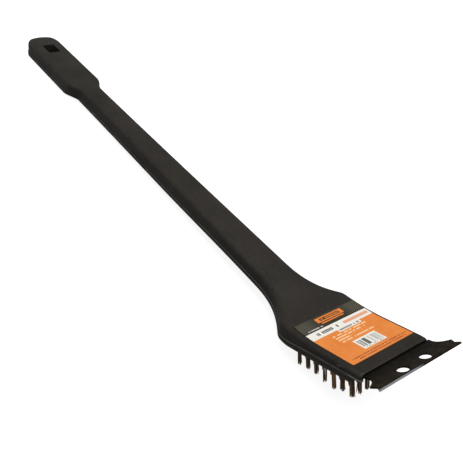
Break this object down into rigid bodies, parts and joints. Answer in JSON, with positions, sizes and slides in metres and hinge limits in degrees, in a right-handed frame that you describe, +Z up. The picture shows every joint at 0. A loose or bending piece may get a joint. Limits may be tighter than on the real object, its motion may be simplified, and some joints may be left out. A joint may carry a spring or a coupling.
{
  "type": "grill cleaning brush",
  "caption": "Long-handled grill cleaning brush: one-piece moulded handle and head, wire tufts below the head and a flat steel scraper with two holes at its nose.",
  "frame": {"origin": "middle of the bounding box, on the surface that the brush lies on, resting on its rear row of tufts and the end of its grip", "axes": "+X from the grip to the scraper, +Y across the head, +Z up away from the tufts' tips"},
  "size_m": [0.4556, 0.061, 0.0472],
  "materials": {
    "moulded_plastic": "black moulded plastic with a fine matt texture",
    "scraper_steel": "black satin coated steel, worn bright along the front edge",
    "label_film": "printed film label, semi-gloss",
    "tuft_wire": "fine brassed steel wire, dull"
  },
  "bodies": {
    "root": {"handle_body": "moulded_plastic", "scraper": "scraper_steel", "label": "label_film", "tuft_1_1": "tuft_wire", "tuft_1_2": "tuft_wire", "tuft_1_3": "tuft_wire", "tuft_1_4": "tuft_wire", "tuft_1_5": "tuft_wire", "tuft_1_6": "tuft_wire", "tuft_1_7": "tuft_wire", "tuft_1_8": "tuft_wire", "tuft_2_1": "tuft_wire", "tuft_2_2": "tuft_wire", "tuft_2_3": "tuft_wire", "tuft_2_4": "tuft_wire", "tuft_2_5": "tuft_wire", "tuft_2_6": "tuft_wire", "tuft_2_7": "tuft_wire", "tuft_2_8": "tuft_wire", "tuft_3_1": "tuft_wire", "tuft_3_2": "tuft_wire", "tuft_3_3": "tuft_wire", "tuft_3_4": "tuft_wire", "tuft_3_5": "tuft_wire", "tuft_3_6": "tuft_wire", "tuft_3_7": "tuft_wire", "tuft_3_8": "tuft_wire", "tuft_4_1": "tuft_wire", "tuft_4_2": "tuft_wire", "tuft_4_3": "tuft_wire", "tuft_4_4": "tuft_wire", "tuft_4_5": "tuft_wire", "tuft_4_6": "tuft_wire", "tuft_4_7": "tuft_wire", "tuft_4_8": "tuft_wire", "tuft_5_1": "tuft_wire", "tuft_5_2": "tuft_wire", "tuft_5_3": "tuft_wire", "tuft_5_4": "tuft_wire", "tuft_5_5": "tuft_wire", "tuft_5_6": "tuft_wire", "tuft_5_7": "tuft_wire", "tuft_5_8": "tuft_wire", "tuft_6_1": "tuft_wire", "tuft_6_2": "tuft_wire", "tuft_6_3": "tuft_wire", "tuft_6_4": "tuft_wire", "tuft_6_5": "tuft_wire", "tuft_6_6": "tuft_wire", "tuft_6_7": "tuft_wire", "tuft_6_8": "tuft_wire", "tuft_7_1": "tuft_wire", "tuft_7_2": "tuft_wire", "tuft_7_3": "tuft_wire", "tuft_7_4": "tuft_wire", "tuft_7_5": "tuft_wire", "tuft_7_6": "tuft_wire", "tuft_7_7": "tuft_wire", "tuft_7_8": "tuft_wire"}
  },
  "joints": []
}
